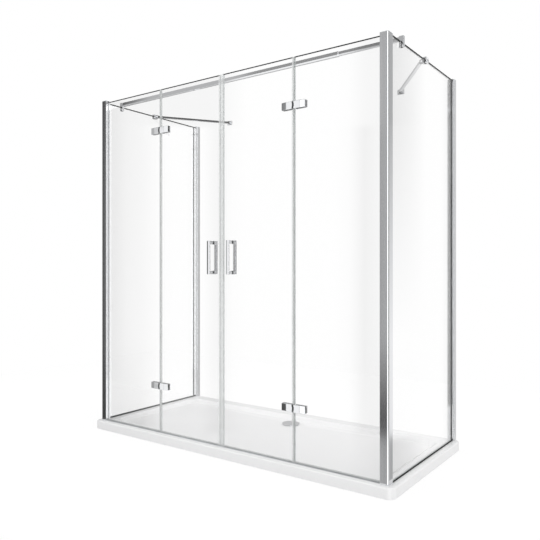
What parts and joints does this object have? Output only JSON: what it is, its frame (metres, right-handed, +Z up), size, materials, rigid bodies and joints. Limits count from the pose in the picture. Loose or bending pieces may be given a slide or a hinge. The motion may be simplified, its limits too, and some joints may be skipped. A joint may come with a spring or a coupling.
{
  "type": "rectangular shower enclosure",
  "caption": "Rectangular shower enclosure on a low white tray: glass sides and front, chromed posts, hinged glass doors that meet in the middle, top bar and wall braces.",
  "frame": {"origin": "on the floor at the centre of the tray's underside", "axes": "+Z up, +Y towards the wall, +X to the right of a person who stands outside and faces the doors"},
  "size_m": [2, 0.9, 2.0685],
  "materials": {
    "acrylic": "gloss white sanitary acrylic",
    "stone_resin": "matt cast stone resin",
    "chrome": "bright chrome plate",
    "polished_aluminium": "bright polished and anodised",
    "stainless": "plain stainless steel",
    "glass": "clear toughened glass, 6 mm",
    "clear_seal": "clear soft PVC",
    "rubber": "matt black rubber",
    "black_plastic": "moulded black plastic",
    "grey_plastic": "moulded pale grey plastic"
  },
  "bodies": {
    "frame": {"tray_cap": "acrylic", "tray_core": "stone_resin", "drain_flange": "chrome", "drain_gasket": "rubber", "drain_body": "black_plastic", "wall_channel_left": "polished_aluminium", "wall_channel_right": "polished_aluminium", "adjusting_profile_left": "polished_aluminium", "adjusting_profile_right": "polished_aluminium", "side_glass_left": "glass", "side_glass_right": "glass", "corner_post_left": "polished_aluminium", "corner_post_right": "polished_aluminium", "profile_end_caps": "grey_plastic", "glazing_gaskets": "rubber", "fixed_glass_left": "glass", "fixed_glass_right": "glass", "threshold_strip": "polished_aluminium", "bottom_seals": "clear_seal", "hinge_fixed_leaves": "chrome", "hinge_fixed_clamps": "chrome", "hinge_fixed_pads": "rubber", "hinge_fixed_screws": "stainless", "hinge_pins": "stainless", "bar_outer_tube": "chrome", "bar_inner_tube": "chrome", "bar_clamp_left": "chrome", "bar_clamp_right": "chrome", "clamp_pads": "rubber", "clamp_screws": "chrome", "brace_clamp_left": "chrome", "brace_clamp_right": "chrome", "brace_arm_left": "chrome", "brace_arm_right": "chrome", "brace_wall_plate_left": "chrome", "brace_wall_plate_right": "chrome", "brace_pins": "stainless"},
    "left_door": {"door_glass_left": "glass", "door_hinge_leaves_left": "chrome", "door_hinge_clamps_left": "chrome", "door_pads_left": "rubber", "door_fixings_left": "stainless", "door_side_seal_left": "clear_seal", "door_magnet_seal_left": "clear_seal", "door_sweep_left": "clear_seal", "handle_outer_left": "chrome", "handle_inner_left": "chrome"},
    "right_door": {"door_glass_right": "glass", "door_hinge_leaves_right": "chrome", "door_hinge_clamps_right": "chrome", "door_pads_right": "rubber", "door_fixings_right": "stainless", "door_side_seal_right": "clear_seal", "door_magnet_seal_right": "clear_seal", "door_sweep_right": "clear_seal", "handle_outer_right": "chrome", "handle_inner_right": "chrome"},
    "drain_cover_set": {"drain_cover": "chrome", "hair_strainer": "stainless"}
  },
  "joints": [
    {"name": "left_door_swing", "type": "hinge", "parent": "frame", "child": "left_door", "pos_m": [-0.463, -0.4145, 1.059], "axis": [0, 0, -1], "range_deg": [0, 100]},
    {"name": "right_door_swing", "type": "hinge", "parent": "frame", "child": "right_door", "pos_m": [0.463, -0.4145, 1.059], "axis": [0, 0, 1], "range_deg": [0, 100]},
    {"name": "drain_cover_lift", "type": "slide", "parent": "frame", "child": "drain_cover_set", "axis": [0, 0, 1], "range_m": [0, 0.06]}
  ]
}
